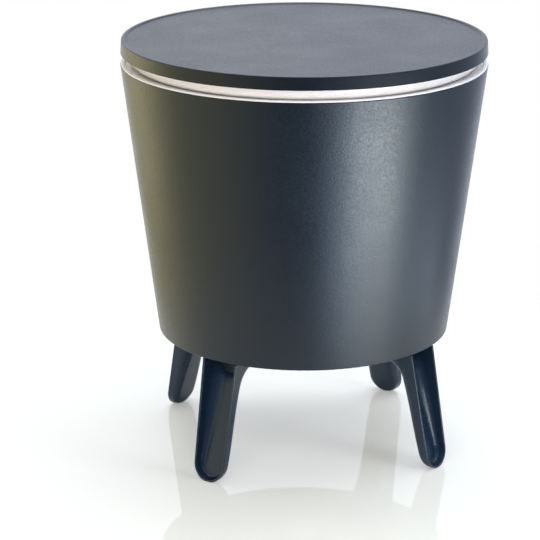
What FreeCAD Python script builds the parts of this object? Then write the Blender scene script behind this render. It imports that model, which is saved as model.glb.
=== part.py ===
import FreeCAD, Part
import math
import os

# Side table with an ice bucket under its lifting top.
# Millimetres, +Z up, origin on the floor under the middle of the table.

# Heights, stacked from the floor up
LEG_HEIGHT = 138.0
BUCKET_HEIGHT = 316.0
SHADOW_GAP = 13.0
TOP_SKIRT_HEIGHT = 15.0

# Bucket, a tapered moulding
BUCKET_RIM_RADIUS = 210.0
BUCKET_BASE_RADIUS = 169.0
BUCKET_WALL = 3.0
BUCKET_FLOOR = 3.0
BUCKET_BASE_ROUND = 2.0
BUCKET_RIM_ROUND = 0.8
FLOOR_RIB_THICKNESS = 2.5
FLOOR_RIB_COUNT = 8
FLOOR_RING_RADIUS = 120.0
RIB_ROOT = 2.1
HUB_BOSS_WALL = 7.7

# Liner that holds the ice
LINER_WALL = 2.6
LINER_FLOOR = 3.0
LINER_FLOOR_GAP = 14.0
LINER_MOUTH_SETBACK = 26.0
LINER_BASE_SETBACK = 17.0
LINER_BASE_ROUND = 14.0
LINER_MOUTH_ROUND = 3.0
SHELF_RECESS = 1.0
SHELF_THICKNESS = 2.5
BEAD_RISE = 1.8
BEAD_SETBACK = 0.7
BEAD_WIDTH = 4.7
BEAD_ROUND = 1.1
LINER_FIT = 0.5
SHELF_CORNER_ROUND = 1.0

# Legs, open troughs that splay outward
LEG_SETBACK = 3.1
LEG_REACH = 24.7
LEG_HALF_WIDTH = 20.6
LEG_SIDE_SLOPE = 0.0343
LEG_DRAFT_ANGLE = 4.0
LEG_WALL = 2.6
LEG_FOOT_DEPTH = 12.0
LEG_DEPTH_SLOPE = 0.125
LEG_BACK_ROUND = 16.0
LEG_FOOT_ROUND = 8.0
LEG_LEAST_ROUND = 1.0
LEG_FLARE_RADIUS = 22.0
LEG_ARM_DROP = 18.0
LEG_ARM_LENGTH = 66.0
LEG_TOP_ROUND = 3.5
LEG_RIM_ROUND = 0.8
SOLE_FLAT = 0.8
TONGUE_SETBACK = 27.0
TONGUE_FIT = 0.5
TONGUE_WALL = 3.0
LEG_ANGLES = {"leg_rear_right": 45.0, "leg_rear_left": 135.0,
              "leg_front_left": 225.0, "leg_front_right": 315.0}

# Table top and the white dish under it
TOP_SETBACK = 0.4
TOP_DRAFT = 0.8
TOP_WALL = 3.0
TOP_EDGE_ROUND = 1.6
LIP_WIDTH = 4.5
LIP_HEIGHT = 1.2
DISH_FIT = 0.3
DISH_WALL = 2.5
DISH_INSET = 5.0
DISH_ROUND = 12.0
DISH_SEAT_WIDTH = 5.0
DISH_PLUG_DEPTH = 6.0
DISH_PLUG_CLEARANCE = 3.0
DISH_RIM_RECESS = 0.3
TOP_RIB_THICKNESS = 2.0
TOP_RIB_DEPTH = 7.0
TOP_RIB_COUNT = 12
TOP_RING_RADIUS = 95.0
TOP_RIB_ROOT = 1.0
TOP_RIB_HUB_GAP = 2.0
TOP_INNER_ROUND = 2.0
TOP_SKIRT_ROUND = 0.6
DISH_PLUG_ROUND = 3.0
DISH_BEND_ROUND = 1.5
DISH_RIM_ROUND = 1.0

# Telescoping post
TWIST = 40.0
LIFT_STOP_GAP = 2.0
POST_RADIUS = 22.5
POST_WALL = 3.5
POST_FOOT_GAP = 9.0
POST_TOP_GAP = 2.0
RUNNING_FIT = 0.08
PRESS_FIT = 0.02
SLEEVE_SKIN = 2.4
SLEEVE_DRAFT = 2.0
SLEEVE_TOP_CLEARANCE = 14.0
SLEEVE_FLOOR = 4.0
SLEEVE_FLANGE_RADIUS = 52.0
SLEEVE_FLANGE = 4.0
SLEEVE_GUSSET_COUNT = 6
SLEEVE_GUSSET_HEIGHT = 22.0
SLEEVE_GUSSET_SETBACK = 4.0
SLEEVE_GUSSET_TOE = 1.0
SLEEVE_FOOT_ROUND = 4.0
SLEEVE_FLANGE_ROUND = 1.5
SPIGOT_RADIUS = 16.0
SPIGOT_WALL = 4.5
SPIGOT_FIT = 0.3
SPIGOT_ROUND = 0.8
POST_GASKET = 2.0
POST_GASKET_SETBACK = 2.0
POST_NUT_HEIGHT = 12.0
POST_NUT_RADIUS = 29.0
POST_NUT_LOBES = 8
LOBE_SCALLOP = 0.22
LOBE_SETBACK = 0.45
END_RING_WALL = 4.42
END_RING_HEIGHT = 24.0
END_RING_LIP = 2.0
END_RING_ROUND = 0.5
LUG_COUNT = 3
LUG_ARC = 20.0
LUG_HEIGHT = 8.0
LUG_REACH = 2.2
LUG_FIT = 0.4
LUG_RISE = 1.0
COLLAR_HEIGHT = 14.0
COLLAR_PLAY = 0.3
COLLAR_ROUND = 0.6
CAP_WALL = 4.0
CAP_TOP = 4.0
CAP_SKIRT = 14.0
CAP_CLEARANCE = 1.5
CAP_MOUTH_ROUND = 1.0
CAP_ROUND = 2.0
CAP_FOOT_ROUND = 0.8
KEY_COUNT = 2
KEY_WIDTH = 6.0
KEY_DEPTH = 1.5
KEY_FIT = 0.3
KEY_END_GAP = 1.0
HEAD_FLANGE_RADIUS = 62.0
HEAD_FLANGE = 4.0
HEAD_WALL = 7.5
HEAD_SCREW_SETBACK = 14.0
HEAD_SCREW_COUNT = 6
HEAD_PIN_RADIUS = 2.5
HEAD_PIN_HEIGHT = 16.0
HEAD_EDGE_ROUND = 0.8
HEAD_FLANGE_ROUND = 1.5
DISH_SCREW_SETBACK = 34.0
DISH_SCREW_COUNT = 8

# Screws, a pan head each
SCREW_RADIUS = 2.0
SCREW_HEAD_RADIUS = 4.2
SCREW_HEAD = 2.6
SCREW_BITE = 7.0
SCREW_HOLE_FIT = 0.4
PILOT_SPARE = 0.5
SCREW_BOSS_WALL = 3.2
LEG_SCREW_POST_RISE = 4.0
LEG_SCREW_SKIN = 1.5

# Drain through both floors
DRAIN_RADIUS = 105.0
DRAIN_BORE = 10.0
DRAIN_WALL = 4.0
DRAIN_FLANGE_RADIUS = 20.0
DRAIN_FLANGE = 2.0
DRAIN_GASKET = 1.0
DRAIN_GASKET_SETBACK = 0.5
DRAIN_TUBE_ROUND = 0.6
DRAIN_FLANGE_ROUND = 1.2
DRAIN_MOUTH_ROUND = 1.5
DRAIN_SUMP_DEPTH = 4.0
DRAIN_SUMP_RIM = 4.0
DRAIN_FIT = 0.3
DRAIN_NUT_HEIGHT = 6.0
DRAIN_NUT_WALL = 7.0
DRAIN_STUB = 3.0
PLUG_WASHER = 2.0
PLUG_WASHER_WALL = 5.0
PLUG_HEAD = 8.0
PLUG_HEAD_RADIUS = 16.0
PLUG_LOBES = 6
PLUG_SPIGOT = 14.0
PLUG_FIT = 0.08
PLUG_HOLLOW_RADIUS = 9.9
PLUG_HOLLOW_DEPTH = 5.2
PLUG_BAR_WIDTH = 4.0
PLUG_TIP_ROUND = 1.0

# How far a cutting or joining shape runs past the face that it meets
SPARE = 1.0
LONG_SPARE = 20.0

# Distances below which two points are one, and a point lies on a line
SAME_POINT = 1e-6
ON_LINE = 1e-3

# Levels and radii that follow from the sizes above
TOP_RADIUS = BUCKET_RIM_RADIUS - TOP_SETBACK
LINER_MOUTH_RADIUS = BUCKET_RIM_RADIUS - LINER_MOUTH_SETBACK
LINER_BASE_RADIUS = BUCKET_BASE_RADIUS - LINER_BASE_SETBACK
HEAD_SCREW_RING_RADIUS = HEAD_FLANGE_RADIUS - HEAD_SCREW_SETBACK
DISH_SCREW_RING_RADIUS = LINER_MOUTH_RADIUS - DISH_SCREW_SETBACK
BUCKET_RIM = LEG_HEIGHT + BUCKET_HEIGHT
TOP_BOTTOM = BUCKET_RIM + SHADOW_GAP
TABLE_HEIGHT = TOP_BOTTOM + TOP_SKIRT_HEIGHT
BUCKET_TAPER = (BUCKET_RIM_RADIUS - BUCKET_BASE_RADIUS) / BUCKET_HEIGHT
BUCKET_FLOOR_TOP = LEG_HEIGHT + BUCKET_FLOOR
LINER_UNDERSIDE = BUCKET_FLOOR_TOP + LINER_FLOOR_GAP
LINER_FLOOR_TOP = LINER_UNDERSIDE + LINER_FLOOR
SHELF_TOP = BUCKET_RIM - SHELF_RECESS
SHELF_UNDERSIDE = SHELF_TOP - SHELF_THICKNESS
DISH_UNDERSIDE = SHELF_TOP - DISH_PLUG_DEPTH
DISH_FLOOR_TOP = DISH_UNDERSIDE + DISH_WALL
DISH_OUTER = TOP_RADIUS - TOP_WALL - DISH_FIT
DISH_RIM_UNDERSIDE = TOP_BOTTOM + DISH_RIM_RECESS
DISH_RIM_TOP = DISH_RIM_UNDERSIDE + DISH_WALL
TOP_SURFACE = TABLE_HEIGHT - LIP_HEIGHT
TOP_UNDERSIDE = TOP_SURFACE - TOP_WALL
TOP_RIB_FOOT = TOP_UNDERSIDE - TOP_RIB_DEPTH
SCREW_TIP = TOP_RIB_FOOT + SCREW_BITE
SLEEVE_BORE = POST_RADIUS + END_RING_WALL + RUNNING_FIT
GROOVE_RADIUS = SLEEVE_BORE + LUG_REACH + LUG_FIT
SLEEVE_OUTER = GROOVE_RADIUS + SLEEVE_SKIN
SLEEVE_FOOT = LINER_FLOOR_TOP + POST_GASKET
SLEEVE_TOP = DISH_UNDERSIDE - SLEEVE_TOP_CLEARANCE
COLLAR_SEAT = SLEEVE_TOP - COLLAR_HEIGHT
POST_FOOT = SLEEVE_FOOT + SLEEVE_FLOOR + POST_FOOT_GAP
END_RING_TOP = POST_FOOT + END_RING_HEIGHT
LUG_FOOT = POST_FOOT + LUG_RISE
POST_TOP = TOP_UNDERSIDE - POST_TOP_GAP
LIFT = COLLAR_SEAT - END_RING_TOP - LIFT_STOP_GAP
HUB_OUTER = POST_RADIUS + HEAD_WALL
HEAD_UNDERSIDE = DISH_UNDERSIDE - HEAD_FLANGE
SPIGOT_FOOT = LEG_HEIGHT - POST_NUT_HEIGHT
SPIGOT_HOLE = SPIGOT_RADIUS + SPIGOT_FIT
DRAIN_TUBE = DRAIN_BORE + DRAIN_WALL
DRAIN_HOLE = DRAIN_TUBE + DRAIN_FIT
DRAIN_FOOT = LEG_HEIGHT - DRAIN_NUT_HEIGHT - DRAIN_STUB
SUMP_TOP = LINER_FLOOR_TOP - DRAIN_SUMP_DEPTH
SUMP_UNDERSIDE = SUMP_TOP - LINER_FLOOR
SUMP_RADIUS = DRAIN_FLANGE_RADIUS + DRAIN_SUMP_RIM
DRAIN_SEAT = SUMP_TOP + DRAIN_GASKET
PLUG_SHOULDER = DRAIN_FOOT - PLUG_WASHER
LEG_RIM_RADIUS = BUCKET_BASE_RADIUS - LEG_SETBACK
LEG_FOOT_RADIUS = LEG_RIM_RADIUS + LEG_REACH
LEG_SPLAY = LEG_REACH / LEG_HEIGHT
LEG_CLEAR_HALF = 3 * LEG_HALF_WIDTH
ARM_END = LEG_RIM_RADIUS - LEG_ARM_LENGTH
ARM_UNDERSIDE = LEG_HEIGHT - LEG_ARM_DROP
TONGUE_INSET = LEG_WALL + TONGUE_FIT
TONGUE_FRONT = BUCKET_BASE_RADIUS - TONGUE_SETBACK
PILOT_RADIUS = SCREW_RADIUS + PRESS_FIT
SCREW_HOLE = SCREW_RADIUS + SCREW_HOLE_FIT
SCREW_BOSS = SCREW_RADIUS + SCREW_BOSS_WALL
LEG_SCREW_PLACE = ARM_END + TONGUE_INSET + SCREW_BOSS
LEG_SCREW_TIP = BUCKET_FLOOR_TOP + LEG_SCREW_POST_RISE - LEG_SCREW_SKIN
DRAIN_CENTRE = FreeCAD.Vector(DRAIN_RADIUS, 0, 0)


def vec(x, y, z):
    return FreeCAD.Vector(x, y, z)


def polar(radius, degrees, z):
    angle = math.radians(degrees)
    return vec(radius * math.cos(angle), radius * math.sin(angle), z)


def spread(count, start):
    """Angles of a ring of equal steps."""
    return [start + 360.0 * step / count for step in range(count)]


def outline(corners, place):
    """Closed wire through corners (a, b, round), each corner rounded to its radius."""
    count = len(corners)
    ends = []
    for index in range(count):
        a, b, radius = corners[index]
        here = vec(a, b, 0)
        before = vec(corners[index - 1][0], corners[index - 1][1], 0) - here
        after = vec(corners[(index + 1) % count][0], corners[(index + 1) % count][1], 0) - here
        before.normalize()
        after.normalize()
        if radius <= 0:
            ends.append((here, None, here))
            continue
        half = before.getAngle(after) / 2
        bisector = before + after
        bisector.normalize()
        reach = radius / math.tan(half)
        middle = here + bisector * (radius / math.sin(half) - radius)
        ends.append((here + before * reach, middle, here + after * reach))
    edges = []
    for index in range(count):
        start, middle, stop = ends[index]
        if middle is not None:
            edges.append(Part.Arc(place(start), place(middle), place(stop)).toShape())
        following = ends[(index + 1) % count][0]
        if (following - stop).Length > SAME_POINT:
            edges.append(Part.LineSegment(place(stop), place(following)).toShape())
    return Part.Wire(edges)


def upright(point):
    """Puts a drawing of radius and height on the XZ plane."""
    return vec(point.x, 0, point.y)


def turned(corners):
    """Solid of revolution from a drawing of radius and height."""
    face = Part.Face(outline(corners, upright))
    return face.revolve(vec(0, 0, 0), vec(0, 0, 1), 360)


def sector(inner, outer, low, high, start, sweep):
    """Part of a ring between two radii, two heights and two angles."""
    corners = [(inner, low, 0), (outer, low, 0), (outer, high, 0), (inner, high, 0)]
    face = Part.Face(outline(corners, upright))
    face.rotate(vec(0, 0, 0), vec(0, 0, 1), start)
    return face.revolve(vec(0, 0, 0), vec(0, 0, 1), sweep)


def ring(inner, outer, low, high):
    return turned([(inner, low, 0), (outer, low, 0), (outer, high, 0), (inner, high, 0)])


def post(radius, low, high, centre=None):
    """Upright cylinder."""
    base = vec(0, 0, low) if centre is None else vec(centre.x, centre.y, low)
    return Part.makeCylinder(radius, high - low, base)


def plate(start, stop, thickness, low, high, degrees):
    """Upright radial plate from one radius to another."""
    shape = Part.makeBox(stop - start, thickness, high - low, vec(start, -thickness / 2, low))
    shape.rotate(vec(0, 0, 0), vec(0, 0, 1), degrees)
    return shape


def turned_about(shape, degrees):
    copy = shape.copy()
    copy.rotate(vec(0, 0, 0), vec(0, 0, 1), degrees)
    return copy


def screw(centre, head_low, bite_top):
    """Pan-head screw that points up, its head below."""
    head_top = head_low + SCREW_HEAD
    shape = turned([(0, head_low, 0), (SCREW_HEAD_RADIUS, head_low, 0),
                    (SCREW_HEAD_RADIUS, head_top, 0), (SCREW_RADIUS, head_top, 0),
                    (SCREW_RADIUS, bite_top, 0), (0, bite_top, 0)])
    shape.translate(vec(centre.x, centre.y, 0))
    return shape


def lobed_disc(radius, lobes, low, high):
    """Hand nut: a disc with a scallop between each two lobes."""
    disc = post(radius, low, high)
    scallop = radius * LOBE_SCALLOP
    for angle in spread(lobes, 0.0):
        disc = disc.cut(post(scallop, low, high, polar(radius + scallop * LOBE_SETBACK, angle, 0)))
    return disc


def bucket_radius(height):
    """Outer radius of the bucket at a height."""
    return BUCKET_BASE_RADIUS + (height - LEG_HEIGHT) * BUCKET_TAPER


def rim_line(height):
    return LEG_RIM_RADIUS + (LEG_HEIGHT - height) * LEG_SPLAY


def back_line(height):
    return rim_line(height) - LEG_FOOT_DEPTH - LEG_DEPTH_SLOPE * height


def leg_side(inset, rim_extra, top_extra):
    """Side view of a leg: rim, top, arm, flare and back, moved in by the inset."""
    lean = math.hypot(1.0, LEG_SPLAY + LEG_DEPTH_SLOPE)
    low = -SOLE_FLAT - SPARE
    high = LEG_HEIGHT + top_extra
    under = ARM_UNDERSIDE + inset
    back_low = back_line(low) + inset * lean
    back_high = back_line(under) + inset * lean
    rim_low = rim_line(low) + rim_extra
    rim_high = rim_line(high) + rim_extra
    return [(rim_low, low, 0),
            (rim_high, high, 0),
            (ARM_END + inset, high, 0),
            (ARM_END + inset, under, 0),
            (back_high, under, LEG_FLARE_RADIUS + inset),
            (back_low, low, 0)]


def leg_front(inset, radius, top_extra):
    """Front view of a leg on one upright plane: straight sides and a round foot."""
    shrink = inset + (LEG_FOOT_RADIUS - radius) * math.tan(math.radians(LEG_DRAFT_ANGLE))
    lean = math.hypot(1.0, LEG_SIDE_SLOPE)
    low = -SOLE_FLAT
    foot = (LEG_HALF_WIDTH + LEG_SIDE_SLOPE * low) / (lean - LEG_SIDE_SLOPE) - shrink
    centre = low + shrink + foot
    side_y = foot / lean
    side_z = centre - foot * LEG_SIDE_SLOPE / lean
    high = LEG_HEIGHT + top_extra
    top_y = side_y + (high - side_z) * LEG_SIDE_SLOPE
    bottom = vec(radius, 0, low + shrink)
    left_low = vec(radius, -side_y, side_z)
    right_low = vec(radius, side_y, side_z)
    left_high = vec(radius, -top_y, high)
    right_high = vec(radius, top_y, high)
    return Part.Wire([Part.LineSegment(left_high, left_low).toShape(),
                      Part.Arc(left_low, bottom, right_low).toShape(),
                      Part.LineSegment(right_low, right_high).toShape(),
                      Part.LineSegment(right_high, left_high).toShape()])


def rounded(blank, rounds):
    """Rounds edges whose radius may change along them: (edge number, radius, radius)."""
    document = FreeCAD.newDocument("rounding")
    base = document.addObject("Part::Feature", "blank")
    base.Shape = blank
    fillet = document.addObject("Part::Fillet", "rounds")
    fillet.Base = base
    fillet.Edges = rounds
    document.recompute()
    shape = fillet.Shape.copy()
    FreeCAD.closeDocument(document.Name)
    return shape


def leg_blank(inset, rim_extra, top_extra):
    """Solid leg on the +X side, smaller all round its back and sides by the inset."""
    corners = leg_side(inset, rim_extra, top_extra)
    side_face = Part.Face(outline(corners, upright))
    side_face.translate(vec(0, -LEG_CLEAR_HALF, 0))
    side = side_face.extrude(vec(0, 2 * LEG_CLEAR_HALF, 0))
    fronts = [leg_front(inset, LEG_FOOT_RADIUS + LONG_SPARE, top_extra),
              leg_front(inset, ARM_END - LONG_SPARE, top_extra)]
    blank = side.common(Part.makeLoft(fronts, True, True))
    beyond = (ARM_END - 2 * LEG_FOOT_RADIUS, corners[-1][1], 0)
    back = Part.Wire(outline(corners[2:] + [beyond], upright).Edges[:-1])
    high = max(LEG_BACK_ROUND - inset, LEG_LEAST_ROUND)
    low = max(LEG_FOOT_ROUND - inset, LEG_LEAST_ROUND)
    rounds = []
    for number, edge in enumerate(blank.Edges, 1):
        middle = edge.valueAt((edge.FirstParameter + edge.LastParameter) / 2)
        level = vec(middle.x, 0, middle.z)
        across = abs(middle.y) < LEG_LEAST_ROUND
        at_foot = middle.z < LEG_HALF_WIDTH
        on_back = Part.Vertex(level).distToShape(back)[0] < ON_LINE
        if not on_back or (across and not at_foot):
            continue
        if across:
            rounds.append((number, low, low))
        elif middle.z < ARM_UNDERSIDE - LEG_FLARE_RADIUS:
            rounds.append((number, low, high))
        else:
            rounds.append((number, high, high))
    return rounded(blank, rounds)


def leg():
    """One trough leg on the +X side: a thin moulding, open outward and at the top."""
    hollow = leg_blank(LEG_WALL, SPARE, SPARE)
    shape = leg_blank(0.0, 0.0, 0.0).cut(hollow)
    rim = []
    for edge in shape.Edges:
        points = edge.discretize(5)
        on_rim = all(abs(point.x - rim_line(point.z)) < ON_LINE for point in points)
        if on_rim and edge.BoundBox.ZMin < LEG_HEIGHT - SPARE:
            rim.append(edge)
    shape = shape.makeFillet(LEG_RIM_ROUND, rim)
    limits = Part.Face(outline([(rim_line(0), 0, 0), (LEG_RIM_RADIUS, LEG_HEIGHT, LEG_TOP_ROUND),
                                (0, LEG_HEIGHT, 0), (0, 0, 0)], upright))
    limits.translate(vec(0, -LEG_CLEAR_HALF, 0))
    shape = shape.common(limits.extrude(vec(0, 2 * LEG_CLEAR_HALF, 0)))
    return shape.cut(post(SCREW_HOLE, 0, LEG_HEIGHT, vec(LEG_SCREW_PLACE, 0, 0)))


def arm_room(start, stop):
    """Box round the part of a leg's arm between two radii."""
    corner = vec(start, -LEG_CLEAR_HALF, SPARE + BUCKET_FLOOR)
    return Part.makeBox(stop - start, 2 * LEG_CLEAR_HALF, LEG_HEIGHT, corner)


def leg_tongue():
    """Socket block under the bucket floor, which fills the arm of a leg."""
    return leg_blank(TONGUE_INSET, 0.0, 0.0).common(arm_room(ARM_END, TONGUE_FRONT)).removeSplitter()


def leg_tongue_pocket():
    """Hollow of the socket block, open above, round a post for the leg's screw."""
    inset = TONGUE_INSET + TONGUE_WALL
    room = arm_room(ARM_END, TONGUE_FRONT - TONGUE_WALL)
    pocket = leg_blank(inset, 0.0, BUCKET_FLOOR + SPARE).common(room)
    return pocket.cut(post(SCREW_BOSS, 0, BUCKET_RIM, vec(LEG_SCREW_PLACE, 0, 0)))


def outer_bucket():
    """Tapered bucket with floor ribs, a boss at each fastening and four leg sockets."""
    inner_base = bucket_radius(BUCKET_FLOOR_TOP) - BUCKET_WALL
    inner_rim = BUCKET_RIM_RADIUS - BUCKET_WALL
    shape = turned([(0, LEG_HEIGHT, 0), (BUCKET_BASE_RADIUS, LEG_HEIGHT, BUCKET_BASE_ROUND),
                    (BUCKET_RIM_RADIUS, BUCKET_RIM, BUCKET_RIM_ROUND),
                    (inner_rim, BUCKET_RIM, 0), (inner_base, BUCKET_FLOOR_TOP, BUCKET_FLOOR),
                    (0, BUCKET_FLOOR_TOP, 0)])
    ribs = [ring(SPIGOT_HOLE, SPIGOT_HOLE + HUB_BOSS_WALL, LEG_HEIGHT, LINER_UNDERSIDE),
            ring(FLOOR_RING_RADIUS, FLOOR_RING_RADIUS + FLOOR_RIB_THICKNESS, LEG_HEIGHT, LINER_UNDERSIDE)]
    rib_end = inner_base + RIB_ROOT
    for angle in spread(FLOOR_RIB_COUNT, 180.0 / FLOOR_RIB_COUNT):
        ribs.append(plate(SPIGOT_HOLE + HUB_BOSS_WALL / 2, rib_end, FLOOR_RIB_THICKNESS,
                          LEG_HEIGHT + BUCKET_FLOOR / 2, LINER_UNDERSIDE, angle))
    shape = shape.fuse(ribs)
    sump_clear = SUMP_RADIUS + LINER_WALL + LINER_FIT
    shape = shape.cut(post(sump_clear, BUCKET_FLOOR_TOP, LINER_UNDERSIDE + SPARE, DRAIN_CENTRE))
    drain_boss = post(DRAIN_FLANGE_RADIUS, LEG_HEIGHT, SUMP_UNDERSIDE, DRAIN_CENTRE)
    tongue = leg_tongue()
    pocket = leg_tongue_pocket()
    screw_place = vec(LEG_SCREW_PLACE, 0, 0)
    screw_post = post(SCREW_BOSS, LEG_HEIGHT, BUCKET_FLOOR_TOP + LEG_SCREW_POST_RISE, screw_place)
    pilot = post(PILOT_RADIUS, 0, LEG_SCREW_TIP + PILOT_SPARE, screw_place)
    added = [drain_boss]
    removed = [post(SPIGOT_HOLE, 0, LINER_UNDERSIDE + SPARE),
               post(DRAIN_HOLE, 0, LINER_UNDERSIDE, DRAIN_CENTRE)]
    for angle in LEG_ANGLES.values():
        added += [turned_about(tongue, angle), turned_about(screw_post, angle)]
        removed += [turned_about(pocket, angle), turned_about(pilot, angle)]
    return shape.fuse(added).cut(removed).removeSplitter()


def liner():
    """Ice tub: floor, tapered wall, shelf for the dish and a bead over the bucket's rim."""
    bead_outer = BUCKET_RIM_RADIUS - BEAD_SETBACK
    bead_inner = bead_outer - BEAD_WIDTH
    bead_top = BUCKET_RIM + BEAD_RISE
    hook = bucket_radius(SHELF_UNDERSIDE) - BUCKET_WALL - LINER_FIT
    wall_base = LINER_BASE_RADIUS + LINER_WALL
    wall_mouth = LINER_MOUTH_RADIUS + LINER_WALL
    shape = turned([(0, LINER_FLOOR_TOP, 0), (LINER_BASE_RADIUS, LINER_FLOOR_TOP, LINER_BASE_ROUND),
                    (LINER_MOUTH_RADIUS, SHELF_TOP, LINER_MOUTH_ROUND),
                    (bead_inner, SHELF_TOP, BEAD_ROUND), (bead_inner, bead_top, BEAD_ROUND),
                    (bead_outer, bead_top, BEAD_ROUND), (bead_outer, BUCKET_RIM, 0),
                    (hook, BUCKET_RIM, 0), (hook, SHELF_UNDERSIDE, 0),
                    (wall_mouth, SHELF_UNDERSIDE, SHELF_CORNER_ROUND),
                    (wall_base, LINER_UNDERSIDE, LINER_BASE_ROUND + LINER_WALL),
                    (0, LINER_UNDERSIDE, 0)])
    shape = shape.fuse(post(SUMP_RADIUS + LINER_WALL, SUMP_UNDERSIDE, LINER_FLOOR_TOP, DRAIN_CENTRE))
    shape = shape.cut([post(SUMP_RADIUS, SUMP_TOP, LINER_FLOOR_TOP + SPARE, DRAIN_CENTRE),
                       post(DRAIN_HOLE, 0, LINER_FLOOR_TOP, DRAIN_CENTRE),
                       post(SPIGOT_HOLE, 0, LINER_FLOOR_TOP + SPARE)])
    return shape.removeSplitter()


def tabletop():
    """Round top: a tray with a raised lip, a skirt, and ribs and screw bosses below."""
    edge = TOP_RADIUS - TOP_DRAFT
    lip = edge - LIP_WIDTH
    ledge = DISH_OUTER - TOP_WALL + DISH_FIT
    inside = TOP_RADIUS - TOP_WALL
    shape = turned([(0, TOP_SURFACE, 0), (0, TOP_UNDERSIDE, 0), (ledge, TOP_UNDERSIDE, TOP_INNER_ROUND),
                    (ledge, DISH_RIM_TOP, 0), (inside, DISH_RIM_TOP, 0),
                    (inside, TOP_BOTTOM, TOP_SKIRT_ROUND), (TOP_RADIUS, TOP_BOTTOM, TOP_SKIRT_ROUND),
                    (edge, TABLE_HEIGHT, TOP_EDGE_ROUND), (lip, TABLE_HEIGHT, LIP_HEIGHT / 2),
                    (lip - LIP_HEIGHT, TOP_SURFACE, LIP_HEIGHT / 2)])
    root = TOP_UNDERSIDE + TOP_RIB_ROOT
    added = [ring(TOP_RING_RADIUS, TOP_RING_RADIUS + TOP_RIB_THICKNESS, TOP_RIB_FOOT, root)]
    for angle in spread(TOP_RIB_COUNT, 0.0):
        added.append(plate(HUB_OUTER + TOP_RIB_HUB_GAP, ledge + TOP_RIB_ROOT, TOP_RIB_THICKNESS,
                           TOP_RIB_FOOT, root, angle))
    removed = []
    for place in dish_screw_places() + head_screw_places():
        added.append(post(SCREW_BOSS, TOP_RIB_FOOT, root, place))
        removed.append(post(PILOT_RADIUS, TOP_RIB_FOOT - SPARE, SCREW_TIP + PILOT_SPARE, place))
    return shape.fuse(added).cut(removed).removeSplitter()


def dish_screw_places():
    return [polar(DISH_SCREW_RING_RADIUS, angle, 0)
            for angle in spread(DISH_SCREW_COUNT, 180.0 / DISH_SCREW_COUNT)]


def head_screw_places():
    return [polar(HEAD_SCREW_RING_RADIUS, angle, 0)
            for angle in spread(HEAD_SCREW_COUNT, 180.0 / HEAD_SCREW_COUNT)]


def lid_dish():
    """White pan under the top, with a pillar at each screw, which dips into the liner's mouth."""
    barrel = DISH_OUTER - DISH_INSET
    seat = barrel - DISH_ROUND - DISH_SEAT_WIDTH
    plug = LINER_MOUTH_RADIUS - DISH_PLUG_CLEARANCE
    hole = HUB_OUTER + DISH_FIT
    upper = SHELF_TOP + DISH_WALL
    shape = turned([(hole, DISH_UNDERSIDE, 0), (plug, DISH_UNDERSIDE, DISH_PLUG_ROUND),
                    (seat, SHELF_TOP, DISH_BEND_ROUND), (barrel, SHELF_TOP, DISH_ROUND),
                    (barrel, DISH_RIM_UNDERSIDE, DISH_RIM_ROUND),
                    (DISH_OUTER, DISH_RIM_UNDERSIDE, 0), (DISH_OUTER, DISH_RIM_TOP, 0),
                    (barrel - DISH_WALL, DISH_RIM_TOP, DISH_RIM_ROUND),
                    (barrel - DISH_WALL, upper, DISH_ROUND - DISH_WALL),
                    (seat - DISH_WALL, upper, DISH_BEND_ROUND),
                    (plug - DISH_WALL, DISH_FLOOR_TOP, DISH_BEND_ROUND), (hole, DISH_FLOOR_TOP, 0)])
    places = dish_screw_places() + head_screw_places()
    pillars = [post(SCREW_BOSS, DISH_FLOOR_TOP - SPARE, TOP_RIB_FOOT, place) for place in places]
    holes = [post(SCREW_HOLE, DISH_UNDERSIDE - SPARE, TOP_RIB_FOOT + SPARE, place) for place in places]
    return shape.fuse(pillars).cut(holes)


def post_head():
    """Flange under the dish with a socket that takes the top of the post."""
    socket = POST_RADIUS + PRESS_FIT
    shape = turned([(socket, HEAD_UNDERSIDE, HEAD_EDGE_ROUND),
                    (HEAD_FLANGE_RADIUS, HEAD_UNDERSIDE, HEAD_FLANGE_ROUND),
                    (HEAD_FLANGE_RADIUS, DISH_UNDERSIDE, 0), (HUB_OUTER, DISH_UNDERSIDE, 0),
                    (HUB_OUTER, TOP_UNDERSIDE, 0), (socket, TOP_UNDERSIDE, 0)])
    holes = [post(SCREW_HOLE, HEAD_UNDERSIDE - SPARE, DISH_UNDERSIDE + SPARE, place)
             for place in head_screw_places()]
    return shape.cut(holes + [head_pin(HEAD_PIN_RADIUS + PRESS_FIT, SPARE)])


def head_pin(radius, extra):
    """Cross pin through the socket and the post."""
    length = 2 * (HUB_OUTER + extra)
    return Part.makeCylinder(radius, length, vec(0, -length / 2, DISH_UNDERSIDE + HEAD_PIN_HEIGHT),
                             vec(0, 1, 0))


def key(side_fit, depth_fit, outer, low, high):
    """One key or keyway on the +X side, from the bottom of the keyway outward."""
    width = KEY_WIDTH - 2 * side_fit
    inner = POST_RADIUS - KEY_DEPTH + depth_fit
    return Part.makeBox(outer - inner, width, high - low, vec(inner, -width / 2, low))


def inner_post():
    """Sliding tube with a long keyway on each side."""
    shape = ring(POST_RADIUS - POST_WALL, POST_RADIUS, POST_FOOT + END_RING_LIP, POST_TOP)
    keyway = key(0.0, 0.0, POST_RADIUS + SPARE, END_RING_TOP, SLEEVE_TOP + CAP_TOP)
    ways = [turned_about(keyway, angle) for angle in spread(KEY_COUNT, 0.0)]
    return shape.cut(ways + [head_pin(HEAD_PIN_RADIUS + PRESS_FIT, SPARE)])


def lug_angles():
    return spread(LUG_COUNT, 90.0)


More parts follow.
